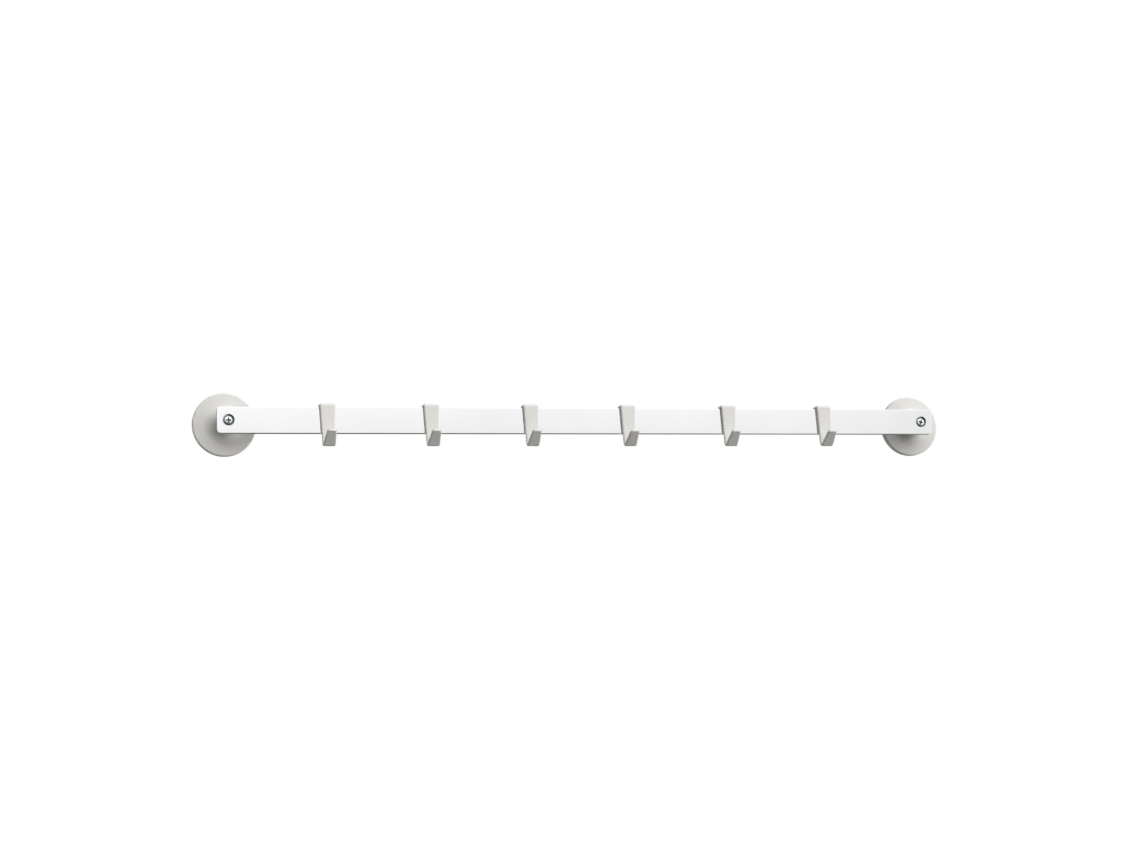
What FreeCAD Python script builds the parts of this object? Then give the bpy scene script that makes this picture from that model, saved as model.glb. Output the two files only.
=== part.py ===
import FreeCAD, Part
import math
import os

# A wall-mounted coat rail: a flat bar held off the wall by two round rosettes, with six strap hooks
# that hang over the bar and slide along it.
#
# Frame: millimetres. X runs along the bar, Z is up, and +Y points into the wall.
# The origin is on the wall plane (Y = 0), midway between the two fixing holes.

Vector = FreeCAD.Vector

# --- Bar -----------------------------------------------------------------------------------------
BAR_LENGTH = 722.0
BAR_HEIGHT = 25.0
BAR_THICKNESS = 5.0
BAR_CORNER_RADIUS = 2.5
BAR_EDGE_RADIUS = 0.4
BAR_STAND_OFF = 28.5  # wall plane to the bar's back face

FIXING_SPACING = 700.0
SCREW_HOLE_RADIUS = 2.75
COUNTERSINK_RADIUS = 5.6

# --- Rosette: a hollow flared cover over a wall plate and a spacer sleeve -------------------------
COVER_RADIUS = 30.0
COVER_WALL = 2.2
COVER_FACE_HEIGHT = 5.5  # wall plane to the disc's face, at the rim
COVER_EDGE_RADIUS = 1.6
COVER_FACE_SLOPE = 7.0  # degrees, rising towards the neck
NECK_RADIUS = 9.5
NECK_FLARE_RADIUS = 13.0
NECK_LIP_RADIUS = 0.5
NECK_TOP_THICKNESS = 2.5

SLEEVE_RADIUS = 5.0
SLEEVE_BORE_RADIUS = 2.8
SLEEVE_CLEARANCE = 0.1
PLATE_THICKNESS = 2.0
PLATE_CLEARANCE = 0.3

# --- Screw: plain under its head, and threaded for the length that goes into the wall ---------------
SHANK_RADIUS = 1.9
THREAD_RADIUS = 2.5
SCREW_LENGTH = 70.0
SCREW_POINT_LENGTH = 5.0
HEAD_RADIUS = 4.5
HEAD_DOME_HEIGHT = 0.9
HEAD_SEAT_GAP = 0.05  # how far the head stands off its countersink, along the screw
RECESS_LENGTH = 5.2
RECESS_WIDTH = 1.2
RECESS_DEPTH = 2.4
RECESS_FLOOR_SCALE = 0.45

# --- Hooks: one bent strap each ---------------------------------------------------------------------
HOOK_POSITIONS = (-257.0, -157.0, -59.0, 39.0, 143.0, 244.0)
STRAP_THICKNESS = 3.0
SADDLE_GAP = 0.8  # strap to bar, front and back
SADDLE_TOP_GAP = 0.2
SADDLE_INNER_RADIUS = 0.5
SADDLE_OUTER_RADIUS = 2.6
LIP_LENGTH = 11.0  # rear lip, below the bar's top edge
HOOK_DROP = 13.0  # lowest point of the bend, below the bar's bottom edge
BEND_INNER_RADIUS = 1.5
TONGUE_ANGLE = 54.0  # degrees from the vertical, leaning away from the wall
TONGUE_LENGTH = 19.0
TONGUE_CORNER_RADIUS = 2.6
LIP_CORNER_RADIUS = 2.6
HOOK_TOP_WIDTH = 15.0
HOOK_BEND_WIDTH = 12.0
HOOK_TIP_WIDTH = 8.8
STRAP_EDGE_RADIUS = 1.4

# --- Derived planes ---------------------------------------------------------------------------------
BAR_BACK_Y = -BAR_STAND_OFF
BAR_FRONT_Y = BAR_BACK_Y - BAR_THICKNESS
BAR_TOP_Z = BAR_HEIGHT / 2
PLATE_BACK_Y = BAR_FRONT_Y - SADDLE_GAP  # the strap in front of the bar
PLATE_FRONT_Y = PLATE_BACK_Y - STRAP_THICKNESS
LIP_FRONT_Y = BAR_BACK_Y + SADDLE_GAP  # the strap behind the bar
LIP_BACK_Y = LIP_FRONT_Y + STRAP_THICKNESS
LIP_BOTTOM_Z = BAR_TOP_Z - LIP_LENGTH
SADDLE_UNDER_Z = BAR_TOP_Z + SADDLE_TOP_GAP
HOOK_TOP_Z = SADDLE_UNDER_Z + STRAP_THICKNESS
PLATE_TOP_Z = SADDLE_UNDER_Z - SADDLE_INNER_RADIUS - 0.2  # just below the saddle's rounded corners
BEND_OUTER_RADIUS = BEND_INNER_RADIUS + STRAP_THICKNESS
BEND_CENTRE = Vector(0, PLATE_FRONT_Y - BEND_INNER_RADIUS, -BAR_TOP_Z - HOOK_DROP + BEND_OUTER_RADIUS)
UP = Vector(0, 0, 1)
TONGUE_WAY = Vector(0, -math.sin(math.radians(TONGUE_ANGLE)), math.cos(math.radians(TONGUE_ANGLE)))
SIDES = (("left", -FIXING_SPACING / 2), ("right", FIXING_SPACING / 2))

PARALLEL = 0.999  # cosine above which two directions count as one
TOUCH = 0.01  # mm below which two planes count as one


def filled(edges):
    """The flat face inside a closed loop of edges."""
    return Part.Face(Part.Wire(Part.__sortEdges__(edges)))


def edges_along(shape, direction):
    """The shape's straight edges that run along a direction."""
    return [
        e
        for e in shape.Edges
        if abs(e.tangentAt(e.FirstParameter).dot(direction)) > PARALLEL
        and abs(e.tangentAt(e.LastParameter).dot(direction)) > PARALLEL
    ]


def revolve_profile(edges, x):
    """Turns a closed profile, drawn in radius (X) and depth (Y), about the fixing axis at x."""
    solid = filled(edges).revolve(Vector(0, 0, 0), Vector(0, 1, 0), 360)
    solid.translate(Vector(x, 0, 0))
    return solid


def line(start, end):
    return Part.LineSegment(start, end).toShape()


def arc(centre, radius, start_degrees, end_degrees, plane="xy"):
    """An arc by its centre and angles, in the XY plane or the YZ plane."""
    points = []
    for degrees in (start_degrees, (start_degrees + end_degrees) / 2, end_degrees):
        across = radius * math.cos(math.radians(degrees))
        up = radius * math.sin(math.radians(degrees))
        offset = Vector(across, up, 0) if plane == "xy" else Vector(0, across, up)
        points.append(centre + offset)
    return Part.Arc(*points).toShape()


def polyline(points):
    """Straight edges through the points, closed back to the first."""
    return [line(a, b) for a, b in zip(points, points[1:] + points[:1])]


def cylinder_along_y(radius, start_y, end_y, x):
    return Part.makeCylinder(radius, end_y - start_y, Vector(x, start_y, 0), Vector(0, 1, 0))


def rounded_rectangle_prism(width, height, thickness, corner_radius, start_y):
    """A plate centred on the Y axis, with rounded corners, running from start_y towards the wall."""
    plate = Part.makeBox(
        width, thickness, height, Vector(-width / 2, start_y, -height / 2)
    )
    return plate.makeFillet(corner_radius, edges_along(plate, Vector(0, 1, 0)))


def make_bar():
    """The flat bar, with softened edges and a countersunk hole near each end."""
    bar = rounded_rectangle_prism(
        BAR_LENGTH, BAR_HEIGHT, BAR_THICKNESS, BAR_CORNER_RADIUS, BAR_FRONT_Y
    )
    rims = [e for e in bar.Edges if e.BoundBox.YLength < TOUCH]
    bar = bar.makeFillet(BAR_EDGE_RADIUS, rims)
    sink_depth = COUNTERSINK_RADIUS - SCREW_HOLE_RADIUS
    for _, x in SIDES:
        hole = cylinder_along_y(SCREW_HOLE_RADIUS, BAR_FRONT_Y - 1, BAR_BACK_Y + 1, x)
        sink = Part.makeCone(
            COUNTERSINK_RADIUS,
            SCREW_HOLE_RADIUS,
            sink_depth,
            Vector(x, BAR_FRONT_Y, 0),
            Vector(0, 1, 0),
        )
        bar = bar.cut(hole.fuse(sink))
    return bar


def make_cover(x):
    """The hollow cover: a low disc that flares through a concave curve into a round neck."""
    slope = math.radians(COVER_FACE_SLOPE)
    tangent_degrees = -90 - COVER_FACE_SLOPE  # where the flare leaves the sloping face
    flare_centre_r = NECK_RADIUS + NECK_FLARE_RADIUS
    edge_centre_r = COVER_RADIUS - COVER_EDGE_RADIUS
    edge_centre_h = COVER_FACE_HEIGHT - COVER_EDGE_RADIUS
    rim_r = edge_centre_r + COVER_EDGE_RADIUS * math.sin(slope)
    rim_h = edge_centre_h + COVER_EDGE_RADIUS * math.cos(slope)
    foot_r = flare_centre_r - NECK_FLARE_RADIUS * math.sin(slope)
    foot_h = rim_h + (rim_r - foot_r) * math.tan(slope)
    flare_centre_h = foot_h + NECK_FLARE_RADIUS * math.cos(slope)

    def at(r, h):
        return Vector(r, -h, 0)

    def curve(r, h, radius, start, end):
        return arc(at(r, h), radius, -start, -end)

    lip_r = NECK_RADIUS - NECK_LIP_RADIUS
    lip_h = BAR_STAND_OFF - NECK_LIP_RADIUS
    outer = [
        line(at(COVER_RADIUS, 0), at(COVER_RADIUS, edge_centre_h)),
        curve(edge_centre_r, edge_centre_h, COVER_EDGE_RADIUS, 0, 90 - COVER_FACE_SLOPE),
        line(at(rim_r, rim_h), at(foot_r, foot_h)),
        curve(flare_centre_r, flare_centre_h, NECK_FLARE_RADIUS, tangent_degrees, -180),
        line(at(NECK_RADIUS, flare_centre_h), at(NECK_RADIUS, lip_h)),
        curve(lip_r, lip_h, NECK_LIP_RADIUS, 0, 90),
    ]

    inner_flare = NECK_FLARE_RADIUS + COVER_WALL
    inner_neck = NECK_RADIUS - COVER_WALL
    inner_top = BAR_STAND_OFF - NECK_TOP_THICKNESS
    inner_rim = COVER_RADIUS - COVER_WALL
    inner_foot_r = flare_centre_r - inner_flare * math.sin(slope)
    inner_foot_h = flare_centre_h - inner_flare * math.cos(slope)
    inner_rim_h = inner_foot_h - (inner_rim - inner_foot_r) * math.tan(slope)
    hole = SLEEVE_RADIUS + SLEEVE_CLEARANCE
    inner = [
        line(at(lip_r, BAR_STAND_OFF), at(hole, BAR_STAND_OFF)),
        line(at(hole, BAR_STAND_OFF), at(hole, inner_top)),
        line(at(hole, inner_top), at(inner_neck, inner_top)),
        line(at(inner_neck, inner_top), at(inner_neck, flare_centre_h)),
        curve(flare_centre_r, flare_centre_h, inner_flare, -180, tangent_degrees),
        line(at(inner_foot_r, inner_foot_h), at(inner_rim, inner_rim_h)),
        line(at(inner_rim, inner_rim_h), at(inner_rim, 0)),
        line(at(inner_rim, 0), at(COVER_RADIUS, 0)),
    ]
    return revolve_profile(outer + inner, x)


def make_wall_plate(x):
    """The plate inside the cover, which spreads the sleeve's push over the wall."""
    radius = COVER_RADIUS - COVER_WALL - PLATE_CLEARANCE
    plate = cylinder_along_y(radius, -PLATE_THICKNESS, 0, x)
    return plate.cut(cylinder_along_y(SLEEVE_BORE_RADIUS, -PLATE_THICKNESS - 1, 1, x))


def make_sleeve(x):
    """The spacer sleeve between the wall plate and the bar's back."""
    sleeve = cylinder_along_y(SLEEVE_RADIUS, BAR_BACK_Y, -PLATE_THICKNESS, x)
    return sleeve.cut(cylinder_along_y(SLEEVE_BORE_RADIUS, BAR_BACK_Y - 1, 1, x))


def make_recess_wing(x, head_top_y, along):
    """One slot of the cross recess: long at the mouth and short at the floor."""
    half_floor = RECESS_LENGTH / 2 * RECESS_FLOOR_SCALE
    mouth = RECESS_LENGTH / 2
    floor_y = head_top_y + RECESS_DEPTH
    mouth_y = head_top_y - HEAD_DOME_HEIGHT
    outline = [(-mouth, mouth_y), (mouth, mouth_y), (half_floor, floor_y), (-half_floor, floor_y)]
    side = Vector(0, 0, 1) if along == "x" else Vector(1, 0, 0)
    points = []
    for reach, y in outline:
        place = Vector(reach, 0, 0) if along == "x" else Vector(0, 0, reach)
        points.append(place + Vector(x, y, 0) - side * (RECESS_WIDTH / 2))
    return filled(polyline(points)).extrude(side * RECESS_WIDTH)


def make_screw(x):
    """A countersunk screw with a domed head and a cross recess, through bar, sleeve and plate."""
    head_edge_y = BAR_FRONT_Y + COUNTERSINK_RADIUS - HEAD_RADIUS - HEAD_SEAT_GAP
    cone_end_y = head_edge_y + HEAD_RADIUS - SHANK_RADIUS
    tip_y = head_edge_y + SCREW_LENGTH
    thread_end_y = tip_y - SCREW_POINT_LENGTH
    apex = Vector(0, head_edge_y - HEAD_DOME_HEIGHT, 0)
    rim = Vector(HEAD_RADIUS, head_edge_y, 0)
    dome_radius = (HEAD_RADIUS**2 + HEAD_DOME_HEIGHT**2) / (2 * HEAD_DOME_HEIGHT)
    half_r = HEAD_RADIUS / 2
    dome_sag = dome_radius - math.sqrt(dome_radius**2 - half_r**2)
    dome = Part.Arc(apex, apex + Vector(half_r, dome_sag, 0), rim).toShape()
    body = [
        rim,
        Vector(SHANK_RADIUS, cone_end_y, 0),
        Vector(SHANK_RADIUS, 0, 0),
        Vector(THREAD_RADIUS, 0, 0),
        Vector(THREAD_RADIUS, thread_end_y, 0),
        Vector(0, tip_y, 0),
        apex,
    ]
    screw = revolve_profile([dome] + [line(a, b) for a, b in zip(body, body[1:])], x)
    for along in ("x", "z"):
        screw = screw.cut(make_recess_wing(x, head_edge_y, along))
    return screw


def lies_on(edge, point, normal):
    """Whether the whole edge is in the plane through a point."""
    ends = [edge.valueAt(edge.FirstParameter), edge.valueAt(edge.LastParameter), edge.CenterOfMass]
    return all(abs((place - point).dot(normal)) < TOUCH for place in ends)


def soften_strap(piece, join, free_end):
    """Rounds a length of strap along its sides and round its free end, and leaves its join as it is.

    The join and the free end are planes, each a point and a normal."""
    across = edges_along(piece, Vector(1, 0, 0))
    rounded = []
    for edge in piece.Edges:
        crosses = any(edge.isSame(other) for other in across)
        if not lies_on(edge, *join) and (lies_on(edge, *free_end) or not crosses):
            rounded.append(edge)
    return piece.makeFillet(STRAP_EDGE_RADIUS, rounded)


def end_face(piece, point, normal):
    """The flat face at one end of a length of strap."""
    for face in piece.Faces:
        if all(lies_on(edge, point, normal) for edge in face.Edges):
            return face
    raise ValueError("no end face on that plane")


def make_saddle():
    """The strap from the rear lip over the bar to the top of the plate, at its full width."""
    round_in = SADDLE_INNER_RADIUS
    round_out = SADDLE_OUTER_RADIUS

    def at(y, z):
        return Vector(-HOOK_TOP_WIDTH / 2, y, z)

    edges = [
        line(at(LIP_BACK_Y, LIP_BOTTOM_Z), at(LIP_BACK_Y, HOOK_TOP_Z - round_out)),
        arc(at(LIP_BACK_Y - round_out, HOOK_TOP_Z - round_out), round_out, 0, 90, "yz"),
        line(at(LIP_BACK_Y - round_out, HOOK_TOP_Z), at(PLATE_FRONT_Y + round_out, HOOK_TOP_Z)),
        arc(at(PLATE_FRONT_Y + round_out, HOOK_TOP_Z - round_out), round_out, 90, 180, "yz"),
        line(at(PLATE_FRONT_Y, HOOK_TOP_Z - round_out), at(PLATE_FRONT_Y, PLATE_TOP_Z)),
        line(at(PLATE_FRONT_Y, PLATE_TOP_Z), at(PLATE_BACK_Y, PLATE_TOP_Z)),
        line(at(PLATE_BACK_Y, PLATE_TOP_Z), at(PLATE_BACK_Y, SADDLE_UNDER_Z - round_in)),
        arc(at(PLATE_BACK_Y + round_in, SADDLE_UNDER_Z - round_in), round_in, 180, 90, "yz"),
        line(at(PLATE_BACK_Y + round_in, SADDLE_UNDER_Z), at(LIP_FRONT_Y - round_in, SADDLE_UNDER_Z)),
        arc(at(LIP_FRONT_Y - round_in, SADDLE_UNDER_Z - round_in), round_in, 90, 0, "yz"),
        line(at(LIP_FRONT_Y, SADDLE_UNDER_Z - round_in), at(LIP_FRONT_Y, LIP_BOTTOM_Z)),
        line(at(LIP_FRONT_Y, LIP_BOTTOM_Z), at(LIP_BACK_Y, LIP_BOTTOM_Z)),
    ]
    saddle = filled(edges).extrude(Vector(HOOK_TOP_WIDTH, 0, 0))
    lip_corners = []
    for edge in edges_along(saddle, Vector(0, 1, 0)):
        if abs(edge.CenterOfMass.z - LIP_BOTTOM_Z) < TOUCH:
            lip_corners.append(edge)
    saddle = saddle.makeFillet(LIP_CORNER_RADIUS, lip_corners)
    return soften_strap(saddle, (Vector(0, 0, PLATE_TOP_Z), UP), (Vector(0, 0, LIP_BOTTOM_Z), UP))


def make_tongue():
    """The straight tapering tongue, with rounded corners at its tip."""
    outward = Vector(1, 0, 0).cross(TONGUE_WAY)
    root = BEND_CENTRE + outward * BEND_INNER_RADIUS
    half_root = HOOK_BEND_WIDTH / 2
    half_tip = HOOK_TIP_WIDTH / 2

    def at(x, distance):
        return root + Vector(x, 0, 0) + TONGUE_WAY * distance

    outline = [
        at(-half_root, 0),
        at(half_root, 0),
        at(half_tip, TONGUE_LENGTH),
        at(-half_tip, TONGUE_LENGTH),
    ]
    tongue = filled(polyline(outline)).extrude(outward * STRAP_THICKNESS)
    tip_middle = root + TONGUE_WAY * TONGUE_LENGTH + outward * (STRAP_THICKNESS / 2)
    corners = []
    for edge in edges_along(tongue, outward):
        if edge.CenterOfMass.distanceToPoint(tip_middle) < HOOK_TIP_WIDTH:
            corners.append(edge)
    tongue = tongue.makeFillet(TONGUE_CORNER_RADIUS, corners)
    return soften_strap(tongue, (root, TONGUE_WAY), (tip_middle, TONGUE_WAY))


def make_hook(x):
    """One strap hook: lip and saddle, a narrowing plate down to the bend, and the tongue.

    The bend is the tongue's own root face turned upright, and the plate runs from it to the saddle,
    so that the strap's section is the same on both sides of each join."""
    saddle = make_saddle()
    tongue = make_tongue()
    root_face = end_face(tongue, BEND_CENTRE, TONGUE_WAY)
    bend = root_face.revolve(BEND_CENTRE, Vector(1, 0, 0), 180 - TONGUE_ANGLE)
    plate_top = end_face(saddle, Vector(0, 0, PLATE_TOP_Z), UP)
    plate_foot = end_face(bend, BEND_CENTRE, UP)
    plate = Part.makeLoft([plate_top.OuterWire, plate_foot.OuterWire], True, True)
    hook = saddle.fuse([plate, bend, tongue]).removeSplitter()
    hook.translate(Vector(x, 0, 0))
    return hook


def build():
    nodes = {"rail_bar": make_bar()}
    for side, x in SIDES:
        nodes[f"rosette_cover_{side}"] = make_cover(x)
        nodes[f"spacer_sleeve_{side}"] = make_sleeve(x)
        nodes[f"wall_plate_{side}"] = make_wall_plate(x)
        nodes[f"fixing_screw_{side}"] = make_screw(x)
    for number, x in enumerate(HOOK_POSITIONS, start=1):
        nodes[f"hook_{number}"] = make_hook(x)
    return nodes


os.makedirs("parts", exist_ok=True)
for name, shape in build().items():
    shape.exportStep(f"parts/{name}.step")
    box = shape.BoundBox
    print(
        f"{name}: {shape.ShapeType} solids {len(shape.Solids)} valid {shape.isValid()} "
        f"volume {shape.Volume:.0f} mm3, {box.XLength:.1f} x {box.YLength:.1f} x {box.ZLength:.1f} mm"
    )
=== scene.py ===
import bmesh
import bpy
import math
from mathutils import Matrix, Vector


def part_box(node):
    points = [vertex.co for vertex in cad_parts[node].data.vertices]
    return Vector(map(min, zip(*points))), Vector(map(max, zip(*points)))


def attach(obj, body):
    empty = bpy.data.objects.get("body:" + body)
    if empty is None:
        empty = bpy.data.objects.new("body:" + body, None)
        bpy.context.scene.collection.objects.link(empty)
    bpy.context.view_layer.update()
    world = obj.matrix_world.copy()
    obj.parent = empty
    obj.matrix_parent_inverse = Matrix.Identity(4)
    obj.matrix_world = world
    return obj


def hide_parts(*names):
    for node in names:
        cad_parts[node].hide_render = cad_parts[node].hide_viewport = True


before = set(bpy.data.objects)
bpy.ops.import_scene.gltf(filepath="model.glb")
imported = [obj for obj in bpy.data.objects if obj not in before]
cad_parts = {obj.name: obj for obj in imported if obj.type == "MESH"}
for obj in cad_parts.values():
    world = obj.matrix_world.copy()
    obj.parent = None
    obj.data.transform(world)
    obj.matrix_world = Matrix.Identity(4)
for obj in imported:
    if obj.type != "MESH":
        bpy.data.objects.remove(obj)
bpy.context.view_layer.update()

# The looks of a wall-mounted coat rail: a polished flat bar on two flared rosettes, with six strap hooks.
# Lengths are metres, in the frame's own axes: X along the bar, Z up, +Y into the wall.

MM = 0.001
WELD_DISTANCE = 0.002 * MM
# Edges that turn by more than these angles are shaded sharp.
SHARP_DEGREES = 35
CARVED_SHARP_DEGREES = 30
SIDES = ("left", "right")
HOOK_NUMBERS = range(1, 7)


# --- Sizes read from the frame --------------------------------------------------------------------
def middle(node):
    """The middle of a CAD node's box."""
    low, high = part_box(node)
    return (low + high) / 2


def span(node):
    """The size of a CAD node's box."""
    low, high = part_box(node)
    return high - low


BAR_LOW, BAR_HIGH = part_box("rail_bar")
SCREW_LOW, SCREW_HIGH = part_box("fixing_screw_left")
FIXING_X = {side: middle(f"wall_plate_{side}").x for side in SIDES}
COVER_RADIUS = span("rosette_cover_left").x / 2
COVER_DEPTH = span("rosette_cover_left").y


# --- Small mesh helpers ---------------------------------------------------------------------------
def new_object(name, mesh):
    """Puts a mesh in the scene as an object."""
    piece = bpy.data.objects.new(name, mesh)
    bpy.context.scene.collection.objects.link(piece)
    return piece


def mesh_from(name, vertices, faces, sharp_degrees=SHARP_DEGREES):
    """A smooth-shaded mesh whose edges are sharp above an angle, with its normals facing out."""
    mesh = bpy.data.meshes.new(name)
    mesh.from_pydata(vertices, [], faces)
    work = bmesh.new()
    work.from_mesh(mesh)
    bmesh.ops.remove_doubles(work, verts=work.verts, dist=WELD_DISTANCE)
    bmesh.ops.recalc_face_normals(work, faces=work.faces)
    work.to_mesh(mesh)
    work.free()
    mesh.shade_smooth()
    mesh.set_sharp_from_angle(angle=math.radians(sharp_degrees))
    return mesh


def weight_normals(piece):
    """Keeps flat faces flat beside their rounded edges."""
    modifier = piece.modifiers.new("weighted_normals", "WEIGHTED_NORMAL")
    modifier.keep_sharp = True


def arc_points(centre, radius, start_degrees, end_degrees, steps):
    """Points along an arc in a plane, both ends included."""
    points = []
    for step in range(steps + 1):
        angle = math.radians(start_degrees + (end_degrees - start_degrees) * step / steps)
        points.append((centre[0] + radius * math.cos(angle), centre[1] + radius * math.sin(angle)))
    return points


def straight_points(start, end, steps):
    """Points between two places, neither end included."""
    points = []
    for step in range(1, steps):
        share = step / steps
        points.append(tuple(a + (b - a) * share for a, b in zip(start, end)))
    return points


def rounded_rectangle(half_width, half_height, radius, steps):
    """Points round a rectangle with rounded corners, centred on the origin."""
    points = []
    for start, sign_x, sign_y in ((0, 1, 1), (90, -1, 1), (180, -1, -1), (270, 1, -1)):
        centre = (sign_x * (half_width - radius), sign_y * (half_height - radius))
        points += arc_points(centre, radius, start, start + 90, steps)
    return points


def skinned(name, rings, sharp_degrees=SHARP_DEGREES):
    """A closed mesh through rings of equally many points, with one face over each end."""
    count = len(rings[0])
    vertices = [point for ring in rings for point in ring]
    last = len(vertices) - count
    faces = []
    for base in range(0, last, count):
        for step in range(count):
            after = (step + 1) % count
            faces.append((base + step, base + after, base + count + after, base + count + step))
    faces.append(tuple(range(count)))
    faces.append(tuple(range(last, last + count)))
    return mesh_from(name, vertices, faces, sharp_degrees)


def turned(name, rings, x, segments, closed=False):
    """A turned shape about the fixing axis at x. Each ring is (radius, distance out from the wall).

    A radius is a number, 0 for a point, or a function of the angle where the shape isn't round."""
    vertices, loops = [], []
    for radius, out in rings:
        if radius == 0:
            loops.append([len(vertices)])
            vertices.append((x, -out, 0))
            continue
        loop = []
        for step in range(segments):
            angle = 2 * math.pi * step / segments
            reach = radius(angle) if callable(radius) else radius
            loop.append(len(vertices))
            vertices.append((x + reach * math.cos(angle), -out, reach * math.sin(angle)))
        loops.append(loop)
    faces = []
    pairs = list(zip(loops, loops[1:]))
    if closed:
        pairs.append((loops[-1], loops[0]))
    for first, second in pairs:
        for step in range(segments):
            after = (step + 1) % segments
            if len(first) == 1:
                faces.append((first[0], second[step], second[after]))
            elif len(second) == 1:
                faces.append((first[step], second[0], first[after]))
            else:
                faces.append((first[step], second[step], second[after], first[after]))
    return mesh_from(name, vertices, faces)


def carve(piece, cutter_mesh):
    """Cuts a closed mesh out of a piece."""
    cutter = new_object("cutter", cutter_mesh)
    modifier = piece.modifiers.new("carve", "BOOLEAN")
    modifier.operation = "DIFFERENCE"
    modifier.solver = "EXACT"
    modifier.object = cutter
    graph = bpy.context.evaluated_depsgraph_get()
    mesh = bpy.data.meshes.new_from_object(piece.evaluated_get(graph))
    piece.modifiers.clear()
    piece.data = mesh
    bpy.data.objects.remove(cutter)
    mesh.shade_smooth()
    mesh.set_sharp_from_angle(angle=math.radians(CARVED_SHARP_DEGREES))


# --- Materials ------------------------------------------------------------------------------------
class Nodes:
    """A short way to write a material's nodes, with one Principled shader at the end."""

    def __init__(self, name):
        self.material = bpy.data.materials.new(name)
        self.material.use_nodes = True
        self.tree = self.material.node_tree
        self.shader = self.tree.nodes["Principled BSDF"]
        self.place = self.add("ShaderNodeTexCoord").outputs["Object"]

    def add(self, kind, inputs=None, **settings):
        node = self.tree.nodes.new(kind)
        for key, value in settings.items():
            setattr(node, key, value)
        for key, value in (inputs or {}).items():
            if isinstance(value, bpy.types.NodeSocket):
                self.tree.links.new(value, node.inputs[key])
            else:
                node.inputs[key].default_value = value
        return node

    def set(self, **values):
        """Sets the shader's own sockets: underscores stand for spaces in their names."""
        for key, value in values.items():
            socket = self.shader.inputs[key.replace("_", " ")]
            if isinstance(value, bpy.types.NodeSocket):
                self.tree.links.new(value, socket)
            else:
                socket.default_value = value

    def stretched(self, scale):
        """Object coordinates, stretched by a scale along each axis."""
        mapping = self.add("ShaderNodeMapping", {"Vector": self.place, "Scale": scale})
        return mapping.outputs["Vector"]

    def noise(self, scale, detail, vector=None):
        inputs = {"Scale": scale, "Detail": detail, "Vector": vector or self.place}
        return self.add("ShaderNodeTexNoise", inputs).outputs["Fac"]

    def spread(self, value, low, high):
        """Maps a noise, most of which lies between 0.3 and 0.7, onto the range low to high."""
        inputs = {"Value": value, "From Min": 0.3, "From Max": 0.7, "To Min": low, "To Max": high}
        return self.add("ShaderNodeMapRange", inputs).outputs["Result"]

    def ramp(self, value, stops):
        """A colour for each value. A stop is (position, colour)."""
        node = self.add("ShaderNodeValToRGB", {"Fac": value})
        while len(node.color_ramp.elements) < len(stops):
            node.color_ramp.elements.new(0.5)
        for element, (position, colour) in zip(node.color_ramp.elements, stops):
            element.position = position
            element.color = (*colour, 1)
        return node.outputs["Color"]

    def bump(self, height, distance, strength=1.0, normal=None):
        inputs = {"Height": height, "Distance": distance, "Strength": strength}
        if normal is not None:
            inputs["Normal"] = normal
        return self.add("ShaderNodeBump", inputs).outputs["Normal"]

    def depth(self):
        """The coordinate that grows into the wall."""
        return self.add("ShaderNodeSeparateXYZ", {"Vector": self.place}).outputs["Y"]

    def math(self, operation, first, second):
        node = self.add("ShaderNodeMath", operation=operation)
        for socket, value in zip(node.inputs, (first, second)):
            if isinstance(value, bpy.types.NodeSocket):
                self.tree.links.new(value, socket)
            else:
                socket.default_value = value
        return node.outputs["Value"]


# How far behind the bar's front the mirror polish reaches. Behind it the bar is rougher, and its colour
# is painted shade.
MIRROR_DEPTH = 0.05 * MM


def polished_chrome():
    """A mirror front with polishing haze and hairlines along the bar. Edges, holes and back are rougher,
    with painted shade in their colour.
    """
    nodes = Nodes("polished_chrome")
    # Behind the front the finish is rougher, and the colour is painted dark as shade in the countersinks,
    # on the edges and on the back.
    dull_and_shaded = nodes.math("GREATER_THAN", nodes.depth(), BAR_LOW.y + MIRROR_DEPTH)
    polished = nodes.math("SUBTRACT", 1, dull_and_shaded)

    haze = nodes.noise(14, 3)
    hairlines = nodes.noise(900, 4, nodes.stretched((0.02, 1, 1)))
    polish = nodes.math("ADD", nodes.spread(haze, 0.035, 0.075), nodes.spread(hairlines, 0, 0.03))
    roughness = nodes.math("ADD", polish, nodes.math("MULTIPLY", dull_and_shaded, 0.22))
    wave = nodes.bump(nodes.noise(9, 1), 0.00004)
    scratch = nodes.bump(hairlines, 0.0000012, normal=wave)
    tone = nodes.math("MULTIPLY", nodes.spread(haze, 0.5, 1.0), polished)
    # The first stop is the painted shade colour of edges, countersinks and back.
    stops = [(0.0, (0.38, 0.40, 0.41)), (0.4, (0.90, 0.905, 0.915)), (1.0, (0.94, 0.942, 0.945))]
    colour = nodes.ramp(tone, stops)
    nodes.set(Metallic=1.0, Base_Color=colour, Roughness=roughness, Normal=scratch)
    return nodes.material


def grey_lacquer():
    """Satin warm grey stoved coating: slow shade changes, orange peel and a fine grain."""
    nodes = Nodes("grey_lacquer")
    cloud = nodes.noise(35, 3)
    tint = nodes.ramp(cloud, [(0.3, (0.695, 0.681, 0.647)), (0.7, (0.725, 0.712, 0.680))])
    peel = nodes.bump(nodes.noise(620, 2), 0.00003, 0.55)
    grain = nodes.bump(nodes.noise(5200, 2), 0.000006, 0.5, normal=peel)
    nodes.set(Base_Color=tint, Roughness=nodes.spread(cloud, 0.40, 0.48), Normal=grain)
    return nodes.material


# The depths behind the top of a screw's dome between which shade is painted dark on the plating, in the
# recess and at the head's edge.
PAINTED_SHADE_FROM = 0.45 * MM
PAINTED_SHADE_TO = 3.4 * MM


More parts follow.
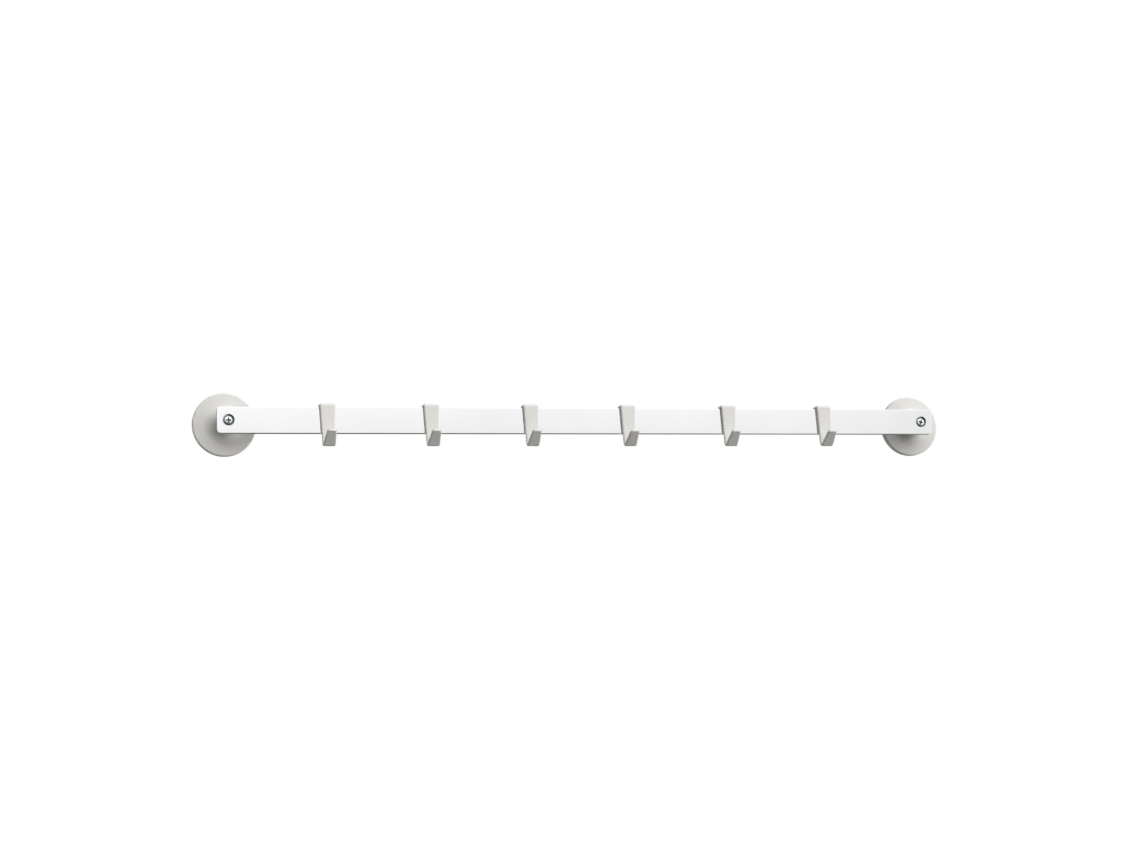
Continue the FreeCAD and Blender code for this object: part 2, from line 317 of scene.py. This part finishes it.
def bright_zinc():
    """Zinc plate: cool and bright with a mottled film, with painted shade in the recess and at the head's
    edge.
    """
    nodes = Nodes("bright_zinc")
    depth = nodes.depth()
    behind_dome = nodes.math("GREATER_THAN", depth, SCREW_LOW.y + PAINTED_SHADE_FROM)
    before_shank = nodes.math("LESS_THAN", depth, SCREW_LOW.y + PAINTED_SHADE_TO)
    # Painted shade: the recess and the head's edge are given a dark colour.
    painted_shade = nodes.math("MULTIPLY", behind_dome, before_shank)
    mottle = nodes.noise(700, 3)
    tone = nodes.math("MULTIPLY", nodes.spread(mottle, 0.5, 1.0), nodes.math("SUBTRACT", 1, painted_shade))
    # The first stop is the painted shade colour.
    stops = [(0.0, (0.17, 0.20, 0.20)), (0.4, (0.84, 0.88, 0.88)), (1.0, (0.93, 0.95, 0.95))]
    colour = nodes.ramp(tone, stops)
    nodes.set(
        Metallic=1.0,
        Base_Color=colour,
        Roughness=nodes.spread(mottle, 0.34, 0.46),
        Normal=nodes.bump(nodes.noise(1600, 2), 0.000008, 0.4),
    )
    return nodes.material


def stamped_steel():
    """Plain steel inside the rosettes: rolling lines, a dull film and a little oil staining."""
    nodes = Nodes("stamped_steel")
    rolling = nodes.noise(1400, 3, nodes.stretched((1, 1, 0.03)))
    stain = nodes.noise(60, 4)
    colour = nodes.ramp(stain, [(0.3, (0.50, 0.49, 0.47)), (0.7, (0.62, 0.62, 0.61))])
    nodes.set(
        Metallic=1.0,
        Base_Color=colour,
        Roughness=nodes.spread(stain, 0.34, 0.50),
        Normal=nodes.bump(rolling, 0.00001, 0.5),
    )
    return nodes.material


def pale_floor():
    """Matt studio floor with a faint cloudiness."""
    nodes = Nodes("pale_floor")
    cloud = nodes.noise(2.5, 3)
    colour = nodes.ramp(cloud, [(0.3, (0.86, 0.86, 0.855)), (0.7, (0.88, 0.88, 0.875))])
    nodes.set(Base_Color=colour, Roughness=0.85)
    return nodes.material


CHROME = polished_chrome()
LACQUER = grey_lacquer()
ZINC = bright_zinc()
STEEL = stamped_steel()


def finish_piece(piece, node, body, material):
    """Gives a built piece its material and its place in the frame, in a CAD node's stead."""
    piece.data.materials.append(material)
    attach(piece, body)
    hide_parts(node)


# --- Rosette covers -------------------------------------------------------------------------------
COVER_WALL = 2.2 * MM
RIM_FACE_OUT = 5.5 * MM
RIM_EDGE_RADIUS = 1.6 * MM
FACE_SLOPE = 7.0
NECK_RADIUS = 9.5 * MM
FLARE_RADIUS = 13.0 * MM
NECK_LIP = 0.5 * MM
NECK_TOP_WALL = 2.5 * MM
SLEEVE_HOLE_RADIUS = 5.1 * MM
FOOT_CHAMFER = 0.4 * MM
COVER_SEGMENTS = 192


def cover_profile():
    """The cover's section: rim, rounded edge, sloping face, flare, neck, and the hollow behind them."""
    slope = math.radians(FACE_SLOPE)
    flare_r = NECK_RADIUS + FLARE_RADIUS
    edge_r = COVER_RADIUS - RIM_EDGE_RADIUS
    edge_out = RIM_FACE_OUT - RIM_EDGE_RADIUS
    rim = arc_points((edge_r, edge_out), RIM_EDGE_RADIUS, 0, 90 - FACE_SLOPE, steps=14)
    foot_r = flare_r - FLARE_RADIUS * math.sin(slope)
    foot_out = rim[-1][1] + (rim[-1][0] - foot_r) * math.tan(slope)
    flare_out = foot_out + FLARE_RADIUS * math.cos(slope)
    flare = arc_points((flare_r, flare_out), FLARE_RADIUS, -90 - FACE_SLOPE, -180, steps=40)
    lip_out = COVER_DEPTH - NECK_LIP
    lip = arc_points((NECK_RADIUS - NECK_LIP, lip_out), NECK_LIP, 0, 90, steps=6)

    inner_flare = FLARE_RADIUS + COVER_WALL
    inner_r = COVER_RADIUS - COVER_WALL
    inner = arc_points((flare_r, flare_out), inner_flare, -180, -90 - FACE_SLOPE, steps=24)
    inner_rim_out = inner[-1][1] - (inner_r - inner[-1][0]) * math.tan(slope)
    inner_top = COVER_DEPTH - NECK_TOP_WALL

    outside = [(COVER_RADIUS - FOOT_CHAMFER, 0), (COVER_RADIUS, FOOT_CHAMFER)]
    outside += straight_points(outside[-1], rim[0], steps=4) + rim
    outside += straight_points(rim[-1], flare[0], steps=6) + flare
    outside += straight_points(flare[-1], lip[0], steps=8) + lip
    hollow = [
        (SLEEVE_HOLE_RADIUS, COVER_DEPTH),
        (SLEEVE_HOLE_RADIUS, inner_top),
        (NECK_RADIUS - COVER_WALL, inner_top),
    ]
    hollow += inner + [(inner_r, inner_rim_out), (inner_r, 0)]
    return outside + hollow


def build_covers():
    """The two flared covers, turned from one section."""
    for side in SIDES:
        mesh = turned(f"cover_{side}", cover_profile(), FIXING_X[side], COVER_SEGMENTS, closed=True)
        cover = new_object(f"flared_cover_{side}", mesh)
        weight_normals(cover)
        finish_piece(cover, f"rosette_cover_{side}", "rail", LACQUER)


# --- Bar ------------------------------------------------------------------------------------------
BAR_CORNER = 3.5 * MM
BAR_CORNER_STEPS = 10
BAR_EDGE = 0.4 * MM
BAR_EDGE_STEPS = 6
SINK_RADIUS = 5.6 * MM
SINK_RIM = 0.15 * MM
SINK_SEGMENTS = 72
BORE_RADIUS = 2.75 * MM


def bar_ring(inset, y):
    """The bar's outline at a depth, drawn in by an inset."""
    half_length = BAR_HIGH.x - inset
    half_height = BAR_HIGH.z - inset
    outline = rounded_rectangle(half_length, half_height, BAR_CORNER - inset, BAR_CORNER_STEPS)
    return [(x, y, z) for x, z in outline]


def bar_mesh():
    """The bar from front to back, with a small round along each edge."""
    front = []
    for step in range(BAR_EDGE_STEPS + 1):
        angle = math.radians(90 * step / BAR_EDGE_STEPS)
        front.append((BAR_EDGE * (1 - math.sin(angle)), BAR_LOW.y + BAR_EDGE * (1 - math.cos(angle))))
    back = [(inset, BAR_LOW.y + BAR_HIGH.y - y) for inset, y in reversed(front)]
    return skinned("bar", [bar_ring(inset, y) for inset, y in front + back])


def sink_mesh(x):
    """The countersunk hole's shape, with a slightly broken rim, standing proud of both faces."""
    face_out = -BAR_LOW.y
    back_out = -BAR_HIGH.y
    profile = [
        (0, face_out + MM),
        (SINK_RADIUS + SINK_RIM, face_out + MM),
        (SINK_RADIUS + SINK_RIM, face_out),
        (SINK_RADIUS - SINK_RIM, face_out - SINK_RIM),
        (BORE_RADIUS, face_out - (SINK_RADIUS - BORE_RADIUS)),
        (BORE_RADIUS, back_out - MM),
        (0, back_out - MM),
    ]
    return turned("sink", profile, x, SINK_SEGMENTS)


def build_bar():
    """The flat bar with its two countersunk holes."""
    bar = new_object("flat_bar", bar_mesh())
    for side in SIDES:
        carve(bar, sink_mesh(FIXING_X[side]))
    weight_normals(bar)
    finish_piece(bar, "rail_bar", "rail", CHROME)


# --- Screws ---------------------------------------------------------------------------------------
HEAD_RADIUS = 4.5 * MM
DOME_HEIGHT = 0.9 * MM
DOME_SHARE = 0.98  # of the head's radius, where its rounded edge begins
DOME_STEPS = 11
# The rounded edge: shares of the head's radius, with depths below the dome's foot.
HEAD_EDGE = ((0.995, 0.02 * MM), (0.98, 0.10 * MM))
SHANK_RADIUS = 1.9 * MM
THREAD_CREST = 2.5 * MM
THREAD_ROOT = 1.75 * MM
THREAD_PITCH = 2.2 * MM
THREAD_FLANK = 0.3  # of the pitch, from the crest down to the root
THREAD_STEPS = 14  # in each pitch
SCREW_SEGMENTS = 48
POINT_LENGTH = 5.0 * MM
RECESS_LENGTH = 5.6 * MM
RECESS_WIDTH = 1.5 * MM
RECESS_DEPTH = 2.4 * MM
RECESS_FLOOR = 0.45  # of the mouth's length
RECESS_SIDE_TAPER = 0.4  # of the length's taper, which the width has too
CUTTER_MARGIN = 0.1 * MM
# The way each screw happened to be turned when it was tight, in degrees.
RECESS_TURN = {"left": 3, "right": 17}


def dome_out(radius):
    """How far out from the wall the domed head reaches at a radius."""
    ball = (HEAD_RADIUS**2 + DOME_HEIGHT**2) / (2 * DOME_HEIGHT)
    return -SCREW_LOW.y - ball + math.sqrt(ball**2 - radius**2)


def thread_radius(out):
    """The threaded end's radius at a distance out from the wall, as a function of the angle."""
    to_tip = out + SCREW_HIGH.y
    fade = min(1.0, to_tip / POINT_LENGTH)
    growth = min(1.0, max(0.0, -out / THREAD_PITCH))

    def radius(angle):
        phase = (out / THREAD_PITCH + angle / (2 * math.pi)) % 1
        ridge = max(0.0, 1 - abs(phase - 0.5) / THREAD_FLANK)
        return fade * (THREAD_ROOT + (THREAD_CREST - THREAD_ROOT) * ridge * growth)

    return radius


def screw_rings():
    """The screw from its dome to its tip: domed head, rounded edge, cone, shank and thread."""
    head_out = -SCREW_LOW.y - DOME_HEIGHT
    rings = [(0, -SCREW_LOW.y)]
    for step in range(1, DOME_STEPS + 1):
        radius = HEAD_RADIUS * DOME_SHARE * step / DOME_STEPS
        rings.append((radius, dome_out(radius)))
    rings += [(HEAD_RADIUS * share, head_out - depth) for share, depth in HEAD_EDGE]
    rings += [(SHANK_RADIUS, head_out - (HEAD_RADIUS - SHANK_RADIUS)), (SHANK_RADIUS, 0)]
    turns = SCREW_HIGH.y / THREAD_PITCH
    count = int(turns * THREAD_STEPS)
    for step in range(1, count):
        out = -SCREW_HIGH.y * step / count
        rings.append((thread_radius(out), out))
    rings.append((0, -SCREW_HIGH.y))
    return rings


def recess_wing(x, turn):
    """One wing of the cross: a flat wedge, long and wide at its mouth and smaller at its floor."""
    mouth_y = SCREW_LOW.y - CUTTER_MARGIN
    floor_y = SCREW_LOW.y + DOME_HEIGHT + RECESS_DEPTH
    spin = Matrix.Rotation(math.radians(turn), 3, "Y")
    rings = []
    for y, size in ((mouth_y, 1.0), (floor_y, RECESS_FLOOR)):
        half_length = RECESS_LENGTH / 2 * size
        half_width = RECESS_WIDTH / 2 * (1 - RECESS_SIDE_TAPER * (1 - size))
        ring = []
        for side_x, side_z in ((-1, -1), (1, -1), (1, 1), (-1, 1)):
            corner = spin @ Vector((side_x * half_length, 0, side_z * half_width))
            ring.append((x + corner.x, y, corner.z))
        rings.append(ring)
    return skinned("wing", rings)


def build_screws():
    """The two screws, each with a cross recess of two wings."""
    for side in SIDES:
        x = FIXING_X[side]
        mesh = turned(f"screw_{side}", screw_rings(), x, SCREW_SEGMENTS)
        screw = new_object(f"cross_screw_{side}", mesh)
        for quarter in (0, 90):
            carve(screw, recess_wing(x, RECESS_TURN[side] + quarter))
        finish_piece(screw, f"fixing_screw_{side}", "rail", ZINC)


# --- Hooks ----------------------------------------------------------------------------------------
STRAP = 3.0 * MM
STRAP_EDGE = 1.4 * MM
EDGE_STEPS = 6
EDGE_SHARE = 0.95  # of half the thickness, the most that an edge's round takes
END_CORNER = 2.6 * MM
BAR_GAP = 0.8 * MM
LIP_LENGTH = 11.0 * MM
LIP_STATIONS = (4.0 * MM, 8.0 * MM)  # up from the lip's end
SADDLE_INNER = 0.5 * MM
SADDLE_OUTER = 2.6 * MM
SADDLE_STEPS = 10
PLATE_STEPS = 12
BEND_INNER = 1.5 * MM
BEND_STEPS = 18
TONGUE_ANGLE = 54.0  # from the vertical
TONGUE_LENGTH = 19.0 * MM
TONGUE_STATIONS = (0.12, 0.25, 0.4, 0.55, 0.7)  # of its length
TAPER_START = 0.5 * MM  # below the bar's top edge
TOP_WIDTH = 15.0 * MM
BEND_WIDTH = 12.0 * MM
TIP_WIDTH = 8.8 * MM
HOOK_SHARP_DEGREES = 50


def end_distances():
    """Distances from a strap end at which its rounded edges and corners need a cross-section."""
    distances = [STRAP_EDGE * (1 - math.cos(math.radians(angle))) for angle in range(0, 91, 15)]
    distances += [END_CORNER * (1 - math.cos(math.radians(angle))) for angle in range(48, 91, 7)]
    return distances


def hook_stations(low, high):
    """The strap's cross-sections from its rear lip to its tip: a point on each face, and a width.

    The first face is the one towards the bar. Each point is (y, z)."""
    back_inner = high.y - STRAP
    front = BAR_LOW.y - BAR_GAP - STRAP
    front_inner = front + STRAP
    under = high.z - STRAP
    lip_end = BAR_HIGH.z - LIP_LENGTH
    taper_top = BAR_HIGH.z - TAPER_START
    bend_y = front - BEND_INNER
    bend_z = low.z + BEND_INNER + STRAP

    def width_at(z):
        """The strap narrows evenly from the bar's top down to the bend."""
        share = (z - bend_z) / (taper_top - bend_z)
        return BEND_WIDTH + (TOP_WIDTH - BEND_WIDTH) * min(1.0, share)

    def saddle(inner_y, outer_y, side, start):
        """The strap over one top edge of the bar. The side is 1 behind the bar and -1 in front."""
        inner_centre = (inner_y - side * SADDLE_INNER, under - SADDLE_INNER)
        outer_centre = (outer_y - side * SADDLE_OUTER, high.z - SADDLE_OUTER)
        inner = arc_points(inner_centre, SADDLE_INNER, start, start + 90, SADDLE_STEPS)
        outer = arc_points(outer_centre, SADDLE_OUTER, start, start + 90, SADDLE_STEPS)
        return [(a, b, width_at(b[1])) for a, b in zip(inner, outer)]

    lip = [lip_end + distance for distance in (*end_distances(), *LIP_STATIONS)]
    stations = [((back_inner, z), (high.y, z), width_at(z)) for z in lip]
    stations += saddle(back_inner, high.y, 1, 0)
    stations += saddle(front_inner, front, -1, 90)
    plate_top = high.z - SADDLE_OUTER
    for step in range(1, PLATE_STEPS):
        z = plate_top + (bend_z - plate_top) * step / PLATE_STEPS
        stations.append(((front_inner, z), (front, z), width_at(z)))

    # Round the bend the face towards the bar turns to the outside.
    turn = TONGUE_ANGLE - 180
    outside = arc_points((bend_y, bend_z), BEND_INNER + STRAP, 0, turn, BEND_STEPS)
    inside = arc_points((bend_y, bend_z), BEND_INNER, 0, turn, BEND_STEPS)
    stations += [(a, b, BEND_WIDTH) for a, b in zip(outside, inside)]

    angle = math.radians(TONGUE_ANGLE)

    def up_tongue(start, reach):
        """A point on the tongue, at a distance from its foot."""
        return (start[0] - math.sin(angle) * reach, start[1] + math.cos(angle) * reach)

    reaches = [TONGUE_LENGTH * share for share in TONGUE_STATIONS]
    reaches += [TONGUE_LENGTH - distance for distance in reversed(end_distances())]
    for reach in reaches:
        width = BEND_WIDTH + (TIP_WIDTH - BEND_WIDTH) * reach / TONGUE_LENGTH
        stations.append((up_tongue(outside[-1], reach), up_tongue(inside[-1], reach), width))
    return stations


def end_trim(distance):
    """How much narrower (each side) and thinner (each face) the strap is at a distance from its end."""
    corner_left = max(0.0, END_CORNER - distance)
    narrower = END_CORNER - math.sqrt(END_CORNER**2 - corner_left**2)
    edge_left = max(0.0, STRAP_EDGE - distance)
    thinner = STRAP_EDGE - math.sqrt(STRAP_EDGE**2 - edge_left**2)
    return narrower, thinner


def strap_section(a, b, width, x, distance):
    """One rounded rectangle across the strap, from face point a to face point b."""
    narrower, thinner = end_trim(distance)
    thick = math.dist(a, b)
    normal = ((b[0] - a[0]) / thick, (b[1] - a[1]) / thick)
    centre = ((a[0] + b[0]) / 2, (a[1] + b[1]) / 2)
    half_thick = thick / 2 - thinner
    edge = min(STRAP_EDGE, half_thick * EDGE_SHARE)
    return [
        (x + across, centre[0] + normal[0] * through, centre[1] + normal[1] * through)
        for across, through in rounded_rectangle(width / 2 - narrower, half_thick, edge, EDGE_STEPS)
    ]


def hook_mesh(name, low, high):
    """A bent strap in a hook's CAD box."""
    x = (low.x + high.x) / 2
    stations = hook_stations(low, high)
    middles = [((a[0] + b[0]) / 2, (a[1] + b[1]) / 2) for a, b, _ in stations]
    travelled = [0.0]
    for first, second in zip(middles, middles[1:]):
        travelled.append(travelled[-1] + math.dist(first, second))
    rings = []
    for (a, b, width), reach in zip(stations, travelled):
        rings.append(strap_section(a, b, width, x, min(reach, travelled[-1] - reach)))
    return skinned(name, rings, HOOK_SHARP_DEGREES)


def build_hooks():
    """The six hooks, each where its CAD node stands and riding on its own body."""
    for number in HOOK_NUMBERS:
        node = f"hook_{number}"
        mesh = hook_mesh(f"strap_{number}", *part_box(node))
        hook = new_object(f"strap_hook_{number}", mesh)
        weight_normals(hook)
        finish_piece(hook, node, f"hook_{number}_body", LACQUER)


# --- CAD pieces that keep their shape -------------------------------------------------------------
def paint(node, material):
    """Gives a CAD node's own mesh a material."""
    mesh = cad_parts[node].data
    mesh.materials.clear()
    mesh.materials.append(material)


def paint_cad_pieces():
    for side in SIDES:
        paint(f"spacer_sleeve_{side}", STEEL)
        paint(f"wall_plate_{side}", STEEL)


# --- Stage, light and camera ----------------------------------------------------------------------
FLOOR_Z = -1.3
FLOOR_RADIUS = 5.0
FLOOR_SEGMENTS = 96


def build_floor():
    """A pale disc far below the rail. It neither lights the rail nor shows in its polish."""
    mesh = bpy.data.meshes.new("floor")
    work = bmesh.new()
    bmesh.ops.create_circle(work, cap_ends=True, segments=FLOOR_SEGMENTS, radius=FLOOR_RADIUS)
    work.to_mesh(mesh)
    work.free()
    mesh.materials.append(pale_floor())
    floor = new_object("floor", mesh)
    floor.location.z = FLOOR_Z
    floor.visible_diffuse = False
    floor.visible_glossy = False
    floor.visible_shadow = False


# Soft lights at a distance: degrees right of straight ahead, degrees up, and strength.
LIGHTS = (
    # In front, level with the rail and above it. The bar's face mirrors these.
    (-50, 12, 0.4),
    (-20, 12, 0.85),
    (10, 12, 0.2),
    (40, 12, 0.75),
    (-20, 38, 1.5),
    (10, 38, 1.5),
    # A tall bank on the right, which grazes the rail.
    (70, -45, 1.2),
    (70, -15, 1.6),
    (70, 12, 1.6),
    (70, 62, 1.6),
    (100, 62, 1.6),
    # Behind the rail, which would otherwise have a black back.
    (-145, -20, 1.5),
    (-145, 25, 0.8),
    (145, 25, 0.8),
    (145, -20, 0.4),
)
# The cosines of the angles from a light's direction at which it starts to show, and is at full strength.
LIGHT_EDGE = 0.80
LIGHT_HEART = 0.985


def build_world():
    """A studio without walls: plain white to the camera, and the soft lights to all else."""
    world = bpy.data.worlds.new("studio")
    bpy.context.scene.world = world
    world.use_nodes = True
    tree = world.node_tree
    tree.nodes.clear()

    def add(kind, **settings):
        node = tree.nodes.new(kind)
        for key, value in settings.items():
            setattr(node, key, value)
        return node

    direction = add("ShaderNodeTexCoord").outputs["Generated"]

    def soft_light(right, up, strength):
        """Light from round one direction."""
        azimuth, elevation = math.radians(right), math.radians(up)
        dot = add("ShaderNodeVectorMath", operation="DOT_PRODUCT")
        tree.links.new(direction, dot.inputs[0])
        dot.inputs[1].default_value = (
            math.sin(azimuth) * math.cos(elevation),
            -math.cos(azimuth) * math.cos(elevation),
            math.sin(elevation),
        )
        fade = add("ShaderNodeMapRange", interpolation_type="SMOOTHSTEP")
        tree.links.new(dot.outputs["Value"], fade.inputs["Value"])
        fade.inputs["From Min"].default_value = LIGHT_EDGE
        fade.inputs["From Max"].default_value = LIGHT_HEART
        fade.inputs["To Max"].default_value = strength
        return fade.outputs["Result"]

    total = None
    for light in LIGHTS:
        glow = soft_light(*light)
        if total is not None:
            both = add("ShaderNodeMath", operation="ADD")
            tree.links.new(total, both.inputs[0])
            tree.links.new(glow, both.inputs[1])
            glow = both.outputs[0]
        total = glow

    seen = add("ShaderNodeBackground")
    seen.inputs["Color"].default_value = (1, 1, 1, 1)
    lighting = add("ShaderNodeBackground")
    tree.links.new(total, lighting.inputs["Strength"])
    choose = add("ShaderNodeMixShader")
    tree.links.new(add("ShaderNodeLightPath").outputs["Is Camera Ray"], choose.inputs[0])
    tree.links.new(lighting.outputs[0], choose.inputs[1])
    tree.links.new(seen.outputs[0], choose.inputs[2])
    tree.links.new(choose.outputs[0], add("ShaderNodeOutputWorld").inputs["Surface"])


CAMERA_PLACE = Vector((-0.670, -2.235, -0.354))
CAMERA_TARGET = Vector((-0.0199, -0.0335, -0.0065))
CAMERA_ROLL = math.radians(-2.41)
SENSOR_WIDTH = 36
LENS = 75.8


def build_camera():
    """A long lens, below the rail and to its left, rolled so that the bar is level in the picture."""
    data = bpy.data.cameras.new("camera")
    data.sensor_width = SENSOR_WIDTH
    data.lens = LENS
    camera = bpy.data.objects.new("camera", data)
    bpy.context.scene.collection.objects.link(camera)
    look = (CAMERA_TARGET - CAMERA_PLACE).to_track_quat("-Z", "Y").to_matrix()
    roll = Matrix.Rotation(CAMERA_ROLL, 3, "Z")
    camera.matrix_world = Matrix.Translation(CAMERA_PLACE) @ (look @ roll).to_4x4()
    bpy.context.scene.camera = camera


build_covers()
build_bar()
build_screws()
build_hooks()
paint_cad_pieces()
build_floor()
build_world()
build_camera()
bpy.context.scene.view_settings.view_transform = "Standard"
